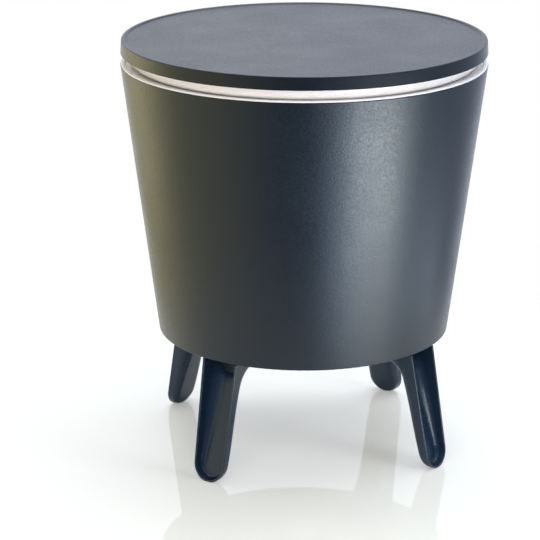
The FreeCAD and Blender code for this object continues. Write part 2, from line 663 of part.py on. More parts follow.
def post_end_ring():
    """Guide ring on the foot of the post with lugs that lock under and over the sleeve's ledges."""
    socket = POST_RADIUS + PRESS_FIT
    slide = SLEEVE_BORE - RUNNING_FIT
    lip = POST_RADIUS - POST_WALL
    shape = turned([(lip, POST_FOOT, 0), (slide, POST_FOOT, END_RING_ROUND),
                    (slide, END_RING_TOP, END_RING_ROUND), (socket, END_RING_TOP, 0),
                    (socket, POST_FOOT + END_RING_LIP, 0),
                    (lip, POST_FOOT + END_RING_LIP, 0)])
    lugs = [sector(slide - SPARE, SLEEVE_BORE + LUG_REACH, LUG_FOOT, LUG_FOOT + LUG_HEIGHT, angle, LUG_ARC)
            for angle in lug_angles()]
    return shape.fuse(lugs)


def lug_track(angle):
    """Path of one lug in the bore: a level run, the long rise and a second level run."""
    spare = math.degrees(LUG_FIT / SLEEVE_BORE)
    inner = SLEEVE_BORE - SPARE
    low = LUG_FOOT - LUG_FIT
    high = LUG_FOOT + LUG_HEIGHT + LUG_FIT
    start = angle - spare
    rise = sector(inner, GROOVE_RADIUS, low, high + LIFT, start, LUG_ARC + 2 * spare)
    level = sector(inner, GROOVE_RADIUS, low, high, start, LUG_ARC + TWIST + 2 * spare)
    locked = level.copy()
    locked.translate(vec(0, 0, LIFT))
    return rise.fuse([level, locked])


def gusset(angle):
    """Sloping web between the sleeve and its foot flange."""
    low = SLEEVE_FOOT + SLEEVE_FLANGE
    near = SLEEVE_OUTER
    far = SLEEVE_FLANGE_RADIUS - SLEEVE_GUSSET_SETBACK
    points = [vec(near, 0, low - SPARE), vec(far, 0, low - SPARE), vec(far, 0, low + SLEEVE_GUSSET_TOE),
              vec(near, 0, low + SLEEVE_GUSSET_HEIGHT)]
    face = Part.Face(Part.makePolygon(points + points[:1]))
    face.translate(vec(0, -FLOOR_RIB_THICKNESS / 2, 0))
    web = face.extrude(vec(0, FLOOR_RIB_THICKNESS, 0))
    return turned_about(web, angle)


def post_sleeve():
    """Fixed tube of the post, with the lug tracks in its bore and a spigot through both floors."""
    foot_outer = SLEEVE_OUTER + SLEEVE_DRAFT
    spigot_bore = SPIGOT_RADIUS - SPIGOT_WALL
    flange_top = SLEEVE_FOOT + SLEEVE_FLANGE
    shape = turned([(spigot_bore, SPIGOT_FOOT, 0), (SPIGOT_RADIUS, SPIGOT_FOOT, SPIGOT_ROUND),
                    (SPIGOT_RADIUS, SLEEVE_FOOT, 0), (SLEEVE_FLANGE_RADIUS, SLEEVE_FOOT, 0),
                    (SLEEVE_FLANGE_RADIUS, flange_top, SLEEVE_FLANGE_ROUND),
                    (foot_outer, flange_top, SLEEVE_FOOT_ROUND),
                    (SLEEVE_OUTER, SLEEVE_TOP - CAP_SKIRT, 0), (SLEEVE_OUTER, SLEEVE_TOP, 0),
                    (GROOVE_RADIUS, SLEEVE_TOP, 0), (GROOVE_RADIUS, COLLAR_SEAT, 0),
                    (SLEEVE_BORE, COLLAR_SEAT, 0),
                    (SLEEVE_BORE, SLEEVE_FOOT + SLEEVE_FLOOR, SLEEVE_FLANGE_ROUND),
                    (0, SLEEVE_FOOT + SLEEVE_FLOOR, 0), (0, SLEEVE_FOOT, 0),
                    (spigot_bore, SLEEVE_FOOT, 0)])
    shape = shape.fuse([gusset(angle) for angle in spread(SLEEVE_GUSSET_COUNT, 0.0)])
    return shape.cut([lug_track(angle) for angle in lug_angles()])


def lock_collar():
    """Bush at the top of the sleeve; its keys make it turn with the post."""
    bore = POST_RADIUS + RUNNING_FIT
    outer = GROOVE_RADIUS - RUNNING_FIT
    high = SLEEVE_TOP - COLLAR_PLAY
    shape = turned([(bore, COLLAR_SEAT, COLLAR_ROUND), (outer, COLLAR_SEAT, COLLAR_ROUND),
                    (outer, high, COLLAR_ROUND), (bore, high, COLLAR_ROUND)])
    tooth = key(KEY_FIT, KEY_FIT, POST_RADIUS + SPARE, COLLAR_SEAT + KEY_END_GAP, high - KEY_END_GAP)
    return shape.fuse([turned_about(tooth, angle) for angle in spread(KEY_COUNT, 0.0)])


def collar_cap():
    """Screw cap that keeps the collar in the sleeve."""
    low = SLEEVE_TOP - CAP_SKIRT
    high = SLEEVE_TOP + CAP_TOP
    inside = SLEEVE_OUTER + PRESS_FIT
    outer = inside + CAP_WALL
    mouth = POST_RADIUS + CAP_CLEARANCE
    return turned([(mouth, SLEEVE_TOP, 0), (mouth, high, CAP_MOUTH_ROUND), (outer, high, CAP_ROUND),
                   (outer, low, CAP_FOOT_ROUND), (inside, low, 0), (inside, SLEEVE_TOP, 0)])


def post_gasket():
    return ring(SPIGOT_HOLE, SLEEVE_FLANGE_RADIUS - POST_GASKET_SETBACK, LINER_FLOOR_TOP, SLEEVE_FOOT)


def post_nut():
    """Hand nut that clamps the sleeve, the liner and the bucket together."""
    nut = lobed_disc(POST_NUT_RADIUS, POST_NUT_LOBES, SPIGOT_FOOT, LEG_HEIGHT)
    return nut.cut(post(SPIGOT_RADIUS + PRESS_FIT, 0, BUCKET_RIM))


def drain_fitting():
    """Flanged tube from the liner's sump down through the bucket's floor."""
    top = DRAIN_SEAT + DRAIN_FLANGE
    shape = turned([(DRAIN_BORE, DRAIN_FOOT, DRAIN_TUBE_ROUND), (DRAIN_TUBE, DRAIN_FOOT, DRAIN_TUBE_ROUND),
                    (DRAIN_TUBE, DRAIN_SEAT, 0), (DRAIN_FLANGE_RADIUS, DRAIN_SEAT, 0),
                    (DRAIN_FLANGE_RADIUS, top, DRAIN_FLANGE_ROUND), (DRAIN_BORE, top, DRAIN_MOUTH_ROUND)])
    shape.translate(DRAIN_CENTRE)
    return shape


def drain_gasket():
    shape = ring(DRAIN_HOLE, DRAIN_FLANGE_RADIUS - DRAIN_GASKET_SETBACK, SUMP_TOP, DRAIN_SEAT)
    shape.translate(DRAIN_CENTRE)
    return shape


def drain_nut():
    nut = lobed_disc(DRAIN_TUBE + DRAIN_NUT_WALL, PLUG_LOBES, LEG_HEIGHT - DRAIN_NUT_HEIGHT, LEG_HEIGHT)
    nut = nut.cut(post(DRAIN_TUBE + PRESS_FIT, 0, BUCKET_RIM))
    nut.translate(DRAIN_CENTRE)
    return nut


def plug_washer():
    shape = ring(DRAIN_BORE + DRAIN_FIT, DRAIN_BORE + PLUG_WASHER_WALL, PLUG_SHOULDER, DRAIN_FOOT)
    shape.translate(DRAIN_CENTRE)
    return shape


def drain_plug():
    """Screw plug with a lobed head and a finger bar in its hollow underside."""
    low = PLUG_SHOULDER - PLUG_HEAD
    head = lobed_disc(PLUG_HEAD_RADIUS, PLUG_LOBES, low, PLUG_SHOULDER)
    hollow = post(PLUG_HOLLOW_RADIUS, low - SPARE, low + PLUG_HOLLOW_DEPTH)
    bar = Part.makeBox(2 * PLUG_HEAD_RADIUS, PLUG_BAR_WIDTH, PLUG_HEAD,
                       vec(-PLUG_HEAD_RADIUS, -PLUG_BAR_WIDTH / 2, low))
    foot = PLUG_SHOULDER - SPARE
    spigot = turned([(0, foot, 0), (DRAIN_BORE - PLUG_FIT, foot, 0),
                     (DRAIN_BORE - PLUG_FIT, PLUG_SHOULDER + PLUG_SPIGOT, PLUG_TIP_ROUND),
                     (0, PLUG_SHOULDER + PLUG_SPIGOT, 0)])
    shape = head.cut(hollow.cut(bar)).fuse(spigot)
    shape.translate(DRAIN_CENTRE)
    return shape.removeSplitter()


def leg_screws():
    places = [polar(LEG_SCREW_PLACE, angle, 0) for angle in LEG_ANGLES.values()]
    return Part.makeCompound([screw(place, ARM_UNDERSIDE - SCREW_HEAD, LEG_SCREW_TIP) for place in places])


def head_screws():
    return Part.makeCompound([screw(place, HEAD_UNDERSIDE - SCREW_HEAD, SCREW_TIP)
                              for place in head_screw_places()])


def dish_screws():
    return Part.makeCompound([screw(place, DISH_UNDERSIDE - SCREW_HEAD, SCREW_TIP)
                              for place in dish_screw_places()])


def build():
    """Every piece by its name."""
    pieces = {
        "outer_bucket": outer_bucket(),
        "liner": liner(),
        "leg_screws": leg_screws(),
        "post_sleeve": post_sleeve(),
        "post_gasket": post_gasket(),
        "post_nut": post_nut(),
        "collar_cap": collar_cap(),
        "lock_collar": lock_collar(),
        "drain_fitting": drain_fitting(),
        "drain_gasket": drain_gasket(),
        "drain_nut": drain_nut(),
        "plug_washer": plug_washer(),
        "drain_plug": drain_plug(),
        "tabletop": tabletop(),
        "lid_dish": lid_dish(),
        "inner_post": inner_post(),
        "post_end_ring": post_end_ring(),
        "post_head": post_head(),
        "head_pin": head_pin(HEAD_PIN_RADIUS, 0.0),
        "head_screws": head_screws(),
        "dish_screws": dish_screws(),
    }
    one_leg = leg()
    for name, angle in LEG_ANGLES.items():
        pieces[name] = turned_about(one_leg, angle)
    return pieces


def main():
    os.makedirs("parts", exist_ok=True)
    for name, shape in build().items():
        shape.exportStep("parts/" + name + ".step")
        print(name, "solids", len(shape.Solids), "valid", shape.isValid(),
              "volume", round(shape.Volume), "faces", len(shape.Faces))
    print("height", TABLE_HEIGHT, "lift", LIFT, "shelf", SHELF_TOP)


if __name__ == "__main__":
    main()
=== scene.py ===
import math

import bmesh
import bpy
from mathutils import Matrix, Vector


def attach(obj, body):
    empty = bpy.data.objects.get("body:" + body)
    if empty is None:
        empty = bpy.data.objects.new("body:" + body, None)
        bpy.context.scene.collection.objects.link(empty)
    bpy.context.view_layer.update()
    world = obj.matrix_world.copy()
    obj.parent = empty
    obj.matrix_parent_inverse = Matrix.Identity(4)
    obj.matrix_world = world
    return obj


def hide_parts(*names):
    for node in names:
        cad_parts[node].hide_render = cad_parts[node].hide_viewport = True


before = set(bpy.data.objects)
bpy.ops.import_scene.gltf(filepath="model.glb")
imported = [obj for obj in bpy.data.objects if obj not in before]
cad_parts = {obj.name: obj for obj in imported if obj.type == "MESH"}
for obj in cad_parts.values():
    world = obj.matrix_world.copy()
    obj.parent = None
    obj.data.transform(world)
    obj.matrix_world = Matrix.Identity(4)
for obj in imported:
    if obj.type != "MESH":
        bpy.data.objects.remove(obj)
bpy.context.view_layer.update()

bl_info = {
    "name": "Ice bucket table finishes",
    "version": (1, 0, 0),
    "blender": (4, 5, 0),
    "location": "View3D > Sidebar > Table",
    "description": "Finishes, screws and a photo stage for a side table with an ice bucket",
    "category": "Object",
}

MM = 0.001

# Pieces that share one finish
GRAPHITE_MOULDINGS = ("post_nut", "collar_cap", "drain_nut", "drain_plug", "post_head")
LEGS = ("leg_front_left", "leg_front_right", "leg_rear_left", "leg_rear_right")
RUBBER_RINGS = ("post_gasket", "drain_gasket", "plug_washer")

# Middle part of Blender's noise, which the finishes spread over their own ranges
NOISE_RANGE = {"From Min": 0.3, "From Max": 0.7}

# Polypropylene, and how far one grain and the slow flow change the graphite's tone and gloss
PP_IOR = 1.49
GRAIN_TONE = 0.10
GRAIN_GLOSS = 0.05
GRAIN_DEPTH = 0.22 * MM
FLOW_WIDTH = 60 * MM
FLOW_TONE = 0.06
FLOW_GLOSS = 0.03

# White polypropylene: least and most tone and roughness, and the ripple of the polished tool
WHITE_FLOW_WIDTH = 45 * MM
WHITE_TONE = (0.98, 1.0)
WHITE_ROUGHNESS = (0.22, 0.28)
RIPPLE_WIDTH = 6 * MM
RIPPLE_DEPTH = 0.1 * MM

# Least and most tone of the small fittings' grain, and its roughness in shares of the mean
SPECKLE_TONE = (0.88, 1.05)
SPECKLE_GLOSS = (0.9, 1.1)

# Screw heads: the outline of a pan head in shares of its radius and height, from its drive
# side up, and the two ends of a recess wedge in shares of the depth, reach and width
HEAD_HEIGHT = 2.6 * MM
HEAD_SEGMENTS = 32
HEAD_OUTLINE = ((0.06, 0.0), (0.55, 0.02), (0.80, 0.14), (0.94, 0.34), (1.0, 0.62), (1.0, 0.97))
RECESS_DEPTH = 1.6 * MM
RECESS_REACH = 2.3 * MM
RECESS_WIDTH = 0.9 * MM
RECESS_ENDS = ((-0.4, 1.15, 1.1), (1.0, 0.35, 0.6))

# All points of one screw lie within this distance of any of them
SCREW_SPREAD = 6 * MM

# The floor sheet fades into the white sweep between two distances from the post, lets the
# camera see a share of the sweep through it, and lies just under the feet
FLOOR_RADIUS = 3.0
FLOOR_SEGMENTS = 96
FLOOR_FADE_START = 0.36
FLOOR_FADE_END = 0.64
FLOOR_VEIL = 0.28
FLOOR_DROP = 0.1 * MM

# Light of the room: turn from the camera, rise, cosines where each glow starts and is full,
# colour, level as light and level in gloss, where the pale sweep and the side cards show
DARK_ROOM = (0.02, 0.03, 0.05)
ROOM_LIGHT = ((180, 15, 0.55, 0.96, "#D8E2FF", 0.8, 1.0),
              (-88, -12, 0.25, 0.97, "#F4E69C", 0.15, 0.90),
              (-140, 0, 0.45, 0.95, "#F4EBB4", 0.3, 0.55),
              (-55, -25, 0.3, 0.95, "#D4ECF4", 0.05, 0.24),
              (112, -12, 0.35, 0.95, "#DCECFF", 0.3, 0.6),
              (175, -25, 0.78, 0.98, "#FFF6EC", 0.15, 0.5),
              (0, 90, 0.4, 1.0, "#F4F8FF", 0.8, 0.8))

# The middle of the bucket, at which every lamp looks
LAMP_AIM = (0, 0, 0.25)

# Lamps: name, turn from the camera, distance, height, size, watts, colour, whether they light
# matt surfaces and whether gloss shows them; the low ones stand for cards under a clear table
LAMPS = (("band_card", 46, 1.15, -0.11, (0.72, 0.32), 11.0, "#F2FCFF", False, True),
         ("shoulder_card", 26, 1.2, -0.36, (0.5, 0.5), 3.6, "#C6E2FF", False, True),
         ("right_card", 90, 1.2, -0.45, (1.0, 0.4), 3.8, "#DCF0FF", False, True),
         ("leg_light", 58, 1.3, 0.62, (0.5, 0.25), 8.0, "#E8F2FF", True, False),
         ("left_light", -115, 1.6, 0.3, (1.0, 1.2), 4.5, "#FAF0C8", True, True),
         ("level_light", -8, 1.9, 0.34, (1.8, 0.4), 20.0, "#FFFAF6", True, False),
         ("front_light", -10, 1.9, 1.25, (1.6, 1.2), 10.0, "#FFFCFA", True, False),
         ("top_light", 160, 0.6, 2.2, (1.8, 1.8), 42.0, "#E6EDFF", True, True))


def linear(hex_colour):
    """Linear red, green and blue of an sRGB hex colour."""
    parts = [int(hex_colour[start:start + 2], 16) / 255 for start in (1, 3, 5)]
    return tuple(part / 12.92 if part <= 0.04045 else ((part + 0.055) / 1.055) ** 2.4
                 for part in parts)


def node(tree, kind, settings=None, inputs=None):
    """Adds a node with its settings; an input is a value or the socket that feeds it."""
    made = tree.nodes.new(kind)
    for name, value in (settings or {}).items():
        setattr(made, name, value)
    for name, value in (inputs or {}).items():
        socket = made.inputs[name]
        if isinstance(value, bpy.types.NodeSocket):
            tree.links.new(value, socket)
        else:
            socket.default_value = value
    return made


class FinishSettings(bpy.types.PropertyGroup):
    graphite: bpy.props.FloatVectorProperty(
        name="Graphite", description="Colour of the bucket",
        subtype="COLOR", size=3, min=0.0, max=1.0, default=linear("#0D1724"))
    top_graphite: bpy.props.FloatVectorProperty(
        name="Top graphite", description="Colour of the top, a shade deeper than the bucket's",
        subtype="COLOR", size=3, min=0.0, max=1.0, default=linear("#09121D"))
    # The legs' graphite is lighter and bluer than the bucket's; the code gives no cause for the
    # difference
    leg_graphite: bpy.props.FloatVectorProperty(
        name="Leg graphite", description="Colour of the legs, moulded from another batch",
        subtype="COLOR", size=3, min=0.0, max=1.0, default=linear("#17273A"))
    white: bpy.props.FloatVectorProperty(
        name="White", description="Colour of the ice liner and the dish under the top",
        subtype="COLOR", size=3, min=0.0, max=1.0, default=linear("#F5F1EF"))
    rubber: bpy.props.FloatVectorProperty(
        name="Rubber", description="Colour of the seals",
        subtype="COLOR", size=3, min=0.0, max=1.0, default=linear("#1C1D1F"))
    acetal: bpy.props.FloatVectorProperty(
        name="Acetal", description="Colour of the sliding rings of the post",
        subtype="COLOR", size=3, min=0.0, max=1.0, default=linear("#C9CCCE"))
    steel: bpy.props.FloatVectorProperty(
        name="Steel", description="Colour of the screws and the cross pin",
        subtype="COLOR", size=3, min=0.0, max=1.0, default=linear("#C4C6C8"))
    grain: bpy.props.FloatProperty(
        name="Grain", description="Width of one grain of the moulded skin",
        unit="LENGTH", subtype="DISTANCE", min=0.0001, max=0.01, default=2.4 * MM)


class StageSettings(bpy.types.PropertyGroup):
    camera_turn: bpy.props.FloatProperty(
        name="Camera turn", description="Turn of the camera round the table from the front",
        unit="ROTATION", subtype="ANGLE", default=math.radians(-10.404))
    camera_distance: bpy.props.FloatProperty(
        name="Camera distance", description="Level distance from the post to the camera",
        unit="LENGTH", subtype="DISTANCE", default=2.7639)
    camera_height: bpy.props.FloatProperty(
        name="Camera height", description="Height of the camera over the floor",
        unit="LENGTH", subtype="DISTANCE", default=1.0558)
    camera_tilt: bpy.props.FloatProperty(
        name="Camera tilt", description="Angle by which the camera looks down",
        unit="ROTATION", subtype="ANGLE", default=0.29899)
    camera_pan: bpy.props.FloatProperty(
        name="Camera pan", description="Angle by which the camera looks past the post",
        unit="ROTATION", subtype="ANGLE", default=0.01413)
    lens: bpy.props.FloatProperty(
        name="Lens", description="Focal length on a 36 mm sensor",
        unit="CAMERA", default=164.37)


def blank_material(name):
    """A new material, its tree, its shader and the place on the piece that patterns use."""
    material = bpy.data.materials.new(name)
    material.use_nodes = True
    tree = material.node_tree
    place = node(tree, "ShaderNodeTexCoord").outputs["Object"]
    return material, tree, tree.nodes["Principled BSDF"], place


def feed(tree, shader, colour, roughness, normal):
    """Links a shader's colour, roughness and normal to the sockets that give them."""
    tree.links.new(colour, shader.inputs["Base Color"])
    tree.links.new(roughness, shader.inputs["Roughness"])
    tree.links.new(normal, shader.inputs["Normal"])


def graphite_moulded_pp(name, base, roughness, seed):
    """Polypropylene, coloured through and moulded in an eroded steel tool.

    The tool's fine grain scatters the light, so lamps show as wide soft bands with a faint
    speckle inside them. The real grain is finer than the picture can show, so it is drawn
    coarser here.
    """
    material, tree, shader, place = blank_material(name)
    width = bpy.context.scene.table_finish.grain
    grain = node(tree, "ShaderNodeTexNoise", {"noise_dimensions": "4D"},
                 {"Vector": place, "W": seed, "Scale": 1 / width, "Detail": 2.0,
                  "Roughness": 0.6})
    # Flow and shrinkage vary tone and gloss slowly
    flow = node(tree, "ShaderNodeTexNoise", {"noise_dimensions": "4D"},
                {"Vector": place, "W": seed + 5.0, "Scale": 1 / FLOW_WIDTH, "Detail": 3.0})
    fleck = node(tree, "ShaderNodeMapRange", None,
                 {"Value": grain.outputs["Fac"], **NOISE_RANGE,
                  "To Min": 1 - GRAIN_TONE, "To Max": 1 + GRAIN_TONE})
    shade = node(tree, "ShaderNodeMapRange", None,
                 {"Value": flow.outputs["Fac"], **NOISE_RANGE,
                  "To Min": 1 - FLOW_TONE, "To Max": 1 + FLOW_TONE})
    tone = node(tree, "ShaderNodeMath", {"operation": "MULTIPLY"},
                {0: fleck.outputs["Result"], 1: shade.outputs["Result"]})
    colour = node(tree, "ShaderNodeVectorMath", {"operation": "SCALE"},
                  {0: tuple(base), "Scale": tone.outputs["Value"]})
    sheen = node(tree, "ShaderNodeMapRange", None,
                 {"Value": flow.outputs["Fac"], **NOISE_RANGE,
                  "To Min": roughness - FLOW_GLOSS, "To Max": roughness + FLOW_GLOSS})
    speckle = node(tree, "ShaderNodeMapRange", None,
                   {"Value": grain.outputs["Fac"], **NOISE_RANGE,
                    "To Min": -GRAIN_GLOSS, "To Max": GRAIN_GLOSS})
    gloss = node(tree, "ShaderNodeMath", {"operation": "ADD"},
                 {0: sheen.outputs["Result"], 1: speckle.outputs["Result"]})
    bump = node(tree, "ShaderNodeBump", None,
                {"Height": grain.outputs["Fac"], "Strength": 0.6, "Distance": GRAIN_DEPTH})
    feed(tree, shader, colour.outputs["Vector"], gloss.outputs["Value"],
         bump.outputs["Normal"])
    shader.inputs["IOR"].default_value = PP_IOR
    return material


def white_moulded_pp():
    """Polypropylene with white pigment, moulded in a polished tool.

    It is smooth enough for soft glints, and the pigment keeps it bright in the shade.
    """
    material, tree, shader, place = blank_material("white_moulded_PP")
    flow = node(tree, "ShaderNodeTexNoise", None,
                {"Vector": place, "Scale": 1 / WHITE_FLOW_WIDTH, "Detail": 3.0})
    shade = node(tree, "ShaderNodeMapRange", None,
                 {"Value": flow.outputs["Fac"], **NOISE_RANGE,
                  "To Min": WHITE_TONE[0], "To Max": WHITE_TONE[1]})
    colour = node(tree, "ShaderNodeVectorMath", {"operation": "SCALE"},
                  {0: tuple(bpy.context.scene.table_finish.white),
                   "Scale": shade.outputs["Result"]})
    gloss = node(tree, "ShaderNodeMapRange", None,
                 {"Value": flow.outputs["Fac"], **NOISE_RANGE,
                  "To Min": WHITE_ROUGHNESS[0], "To Max": WHITE_ROUGHNESS[1]})
    ripple = node(tree, "ShaderNodeTexNoise", None,
                  {"Vector": place, "Scale": 1 / RIPPLE_WIDTH, "Detail": 1.0})
    bump = node(tree, "ShaderNodeBump", None,
                {"Height": ripple.outputs["Fac"], "Strength": 0.08, "Distance": RIPPLE_DEPTH})
    feed(tree, shader, colour.outputs["Vector"], gloss.outputs["Result"],
         bump.outputs["Normal"])
    shader.inputs["IOR"].default_value = PP_IOR
    return material


def speckled(name, base, roughness, width, depth, ior=None):
    """Finish whose grain of the given width varies tone and gloss; without an IOR, a metal."""
    material, tree, shader, place = blank_material(name)
    grain = node(tree, "ShaderNodeTexNoise", None,
                 {"Vector": place, "Scale": 1 / width, "Detail": 2.0})
    shade = node(tree, "ShaderNodeMapRange", None,
                 {"Value": grain.outputs["Fac"], **NOISE_RANGE,
                  "To Min": SPECKLE_TONE[0], "To Max": SPECKLE_TONE[1]})
    colour = node(tree, "ShaderNodeVectorMath", {"operation": "SCALE"},
                  {0: tuple(base), "Scale": shade.outputs["Result"]})
    gloss = node(tree, "ShaderNodeMapRange", None,
                 {"Value": grain.outputs["Fac"], **NOISE_RANGE,
                  "To Min": roughness * SPECKLE_GLOSS[0],
                  "To Max": roughness * SPECKLE_GLOSS[1]})
    bump = node(tree, "ShaderNodeBump", None,
                {"Height": grain.outputs["Fac"], "Strength": 0.3, "Distance": depth})
    feed(tree, shader, colour.outputs["Vector"], gloss.outputs["Result"],
         bump.outputs["Normal"])
    if ior is None:
        shader.inputs["Metallic"].default_value = 1.0
    else:
        shader.inputs["IOR"].default_value = ior
    return material


def dress(name, material):
    """Gives one CAD piece its finish."""
    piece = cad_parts[name]
    piece.data.materials.clear()
    piece.data.materials.append(material)


class FinishBucket(bpy.types.Operator):
    """Finishes the outer bucket"""
    bl_idname = "table.finish_bucket"
    bl_label = "Bucket"

    def execute(self, context):
        material = graphite_moulded_pp("bucket_moulded_PP", context.scene.table_finish.graphite,
                                       roughness=0.36, seed=1.0)
        dress("outer_bucket", material)
        return {"FINISHED"}


class FinishLegs(bpy.types.Operator):
    """Finishes the four trough legs"""
    bl_idname = "table.finish_legs"
    bl_label = "Legs"

    def execute(self, context):
        material = graphite_moulded_pp("leg_moulded_PP", context.scene.table_finish.leg_graphite,
                                       roughness=0.22, seed=2.0)
        for name in LEGS:
            dress(name, material)
        return {"FINISHED"}


class FinishTop(bpy.types.Operator):
    """Finishes the round top"""
    bl_idname = "table.finish_top"
    bl_label = "Top"

    def execute(self, context):
        material = graphite_moulded_pp("top_moulded_PP", context.scene.table_finish.top_graphite,
                                       roughness=0.36, seed=3.0)
        dress("tabletop", material)
        return {"FINISHED"}


class FinishLiner(bpy.types.Operator):
    """Finishes the white liner, the dish and the white tubes of the post"""
    bl_idname = "table.finish_liner"
    bl_label = "Liner, dish and tubes"

    def execute(self, context):
        material = white_moulded_pp()
        for name in ("liner", "lid_dish", "post_sleeve", "inner_post", "drain_fitting"):
            dress(name, material)
        return {"FINISHED"}


class FinishFittings(bpy.types.Operator):
    """Finishes the nuts, the cap, the plug, the sliding rings and the seals"""
    bl_idname = "table.finish_fittings"
    bl_label = "Fittings"

    def execute(self, context):
        finish = context.scene.table_finish
        graphite = graphite_moulded_pp("fitting_moulded_PP", finish.graphite,
                                       roughness=0.34, seed=4.0)
        for name in GRAPHITE_MOULDINGS:
            dress(name, graphite)
        # Acetal moulded smooth, so that it slides: a waxy sheen
        acetal = speckled("moulded_acetal", finish.acetal, roughness=0.32, width=3 * MM,
                          depth=0.02 * MM, ior=1.48)
        for name in ("lock_collar", "post_end_ring"):
            dress(name, acetal)
        # Rubber pressed in a hot mould, which leaves it matt and slightly dusty
        rubber = speckled("pressed_nitrile_rubber", finish.rubber, roughness=0.72,
                          width=0.8 * MM, depth=0.05 * MM, ior=1.52)
        for name in RUBBER_RINGS:
            dress(name, rubber)
        # Stainless wire drawn through a die: bright, with a faint blur
        steel = speckled("drawn_stainless_steel", finish.steel, roughness=0.3, width=0.5 * MM,
                         depth=0.01 * MM)
        dress("head_pin", steel)
        return {"FINISHED"}


def pan_head(centre, low, radius):
    """Mesh of one domed screw head, before its recess is cut."""
    mesh = bpy.data.meshes.new("screw_head")
    form = bmesh.new()
    turns = [math.tau * step / HEAD_SEGMENTS for step in range(HEAD_SEGMENTS)]
    rings = []
    for share, rise in HEAD_OUTLINE:
        reach = radius * share
        rings.append([form.verts.new((centre.x + reach * math.cos(turn),
                                      centre.y + reach * math.sin(turn),
                                      low + rise * HEAD_HEIGHT)) for turn in turns])
    for lower, upper in zip(rings, rings[1:]):
        for step in range(HEAD_SEGMENTS):
            following = (step + 1) % HEAD_SEGMENTS
            form.faces.new((lower[step], upper[step], upper[following], lower[following]))
    form.faces.new(rings[0])
    form.faces.new(list(reversed(rings[-1])))
    bmesh.ops.recalc_face_normals(form, faces=form.faces)
    for face in form.faces:
        face.smooth = True
    form.to_mesh(mesh)
    form.free()
    return mesh


def cross_cutter(centre, low):
    """Mesh of the cross recess: two crossed wedges that narrow upward."""
    mesh = bpy.data.meshes.new("screw_recess")
    form = bmesh.new()
    for turn in (0.0, math.pi / 2):
        along = Vector((math.cos(turn), math.sin(turn), 0))
        across = Vector((-math.sin(turn), math.cos(turn), 0))
        corners = []
        for rise, length, breadth in RECESS_ENDS:
            for side, way in ((-1, -1), (1, -1), (1, 1), (-1, 1)):
                corners.append(form.verts.new(centre + along * (side * RECESS_REACH * length)
                                              + across * (way * RECESS_WIDTH * breadth / 2)
                                              + Vector((0, 0, low + RECESS_DEPTH * rise))))
        form.faces.new(corners[:4])
        form.faces.new(corners[4:])
        for step in range(4):
            following = (step + 1) % 4
            form.faces.new((corners[step], corners[following], corners[4 + following],
                            corners[4 + step]))
    bmesh.ops.recalc_face_normals(form, faces=form.faces)
    form.to_mesh(mesh)
    form.free()
    return mesh


def crossed_head(context, centre, low, radius):
    """Mesh of one screw head with its recess cut out."""
    head = bpy.data.objects.new("screw_head", pan_head(centre, low, radius))
    cutter = bpy.data.objects.new("screw_recess", cross_cutter(centre, low))
    for made in (head, cutter):
        context.scene.collection.objects.link(made)
    cut = head.modifiers.new("recess", "BOOLEAN")
    cut.operation = "DIFFERENCE"
    cut.solver = "EXACT"
    cut.use_self = True
    cut.object = cutter
    context.view_layer.update()
    shown = bpy.data.meshes.new_from_object(
        head.evaluated_get(context.evaluated_depsgraph_get()))
    bpy.data.objects.remove(cutter)
    bpy.data.objects.remove(head)
    return shown


def screw_places(name):
    """Centre, lowest height and radius of each screw of a CAD node, read from its mesh."""
    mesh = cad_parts[name].data
    points = [vertex.co.copy() for vertex in mesh.vertices]
    groups = []
    for point in points:
        for group in groups:
            if (Vector((point.x, point.y)) - group[0]).length < SCREW_SPREAD:
                group[1].append(point)
                break
        else:
            groups.append([Vector((point.x, point.y)), [point]])
    places = []
    for _, members in groups:
        low = Vector(min(point[axis] for point in members) for axis in range(3))
        high = Vector(max(point[axis] for point in members) for axis in range(3))
        middle = (low + high) / 2
        places.append((Vector((middle.x, middle.y, 0)), low.z, (high.x - low.x) / 2))
    return places


class FitScrews(bpy.types.Operator):
    """Makes the screws with domed heads and cross recesses"""
    bl_idname = "table.fit_screws"
    bl_label = "Screws"

    def execute(self, context):
        # Stainless heads pressed cold and tumbled clean: softly bright
        steel = speckled("pressed_stainless_screws", context.scene.table_finish.steel,
                         roughness=0.28, width=0.5 * MM, depth=0.01 * MM)
        for name, body in (("leg_screws", "bucket"), ("head_screws", "top"),
                           ("dish_screws", "top")):
            form = bmesh.new()
            for centre, low, radius in screw_places(name):
                form.from_mesh(crossed_head(context, centre, low, radius))
            joined = bpy.data.meshes.new(name + "_heads")
            form.to_mesh(joined)
            form.free()
            joined.materials.append(steel)
            piece = bpy.data.objects.new("cross_" + name, joined)
            context.scene.collection.objects.link(piece)
            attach(piece, body)
            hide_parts(name)
        return {"FINISHED"}


def bearing(direction, rise):
    """Unit vector at a turn round the table from its front and at a rise over level."""
    return (math.sin(direction) * math.cos(rise), -math.cos(direction) * math.cos(rise),
            math.sin(rise))


def area_lamp(name, direction, distance, height, size, watts, colour, on_matt, in_gloss):
    """Soft box that stands at a turn round the table and looks at the middle of the bucket."""
    data = bpy.data.lights.new(name, "AREA")
    data.shape = "RECTANGLE"
    data.size, data.size_y = size
    data.energy = watts
    data.color = colour
    lamp = bpy.data.objects.new(name, data)
    lamp.location = (distance * math.sin(direction), -distance * math.cos(direction), height)
    aim = Vector(LAMP_AIM) - lamp.location
    lamp.rotation_euler = aim.to_track_quat("-Z", "Y").to_euler()
    lamp.visible_camera = False
    lamp.visible_diffuse = on_matt
    lamp.visible_glossy = in_gloss
    bpy.context.scene.collection.objects.link(lamp)


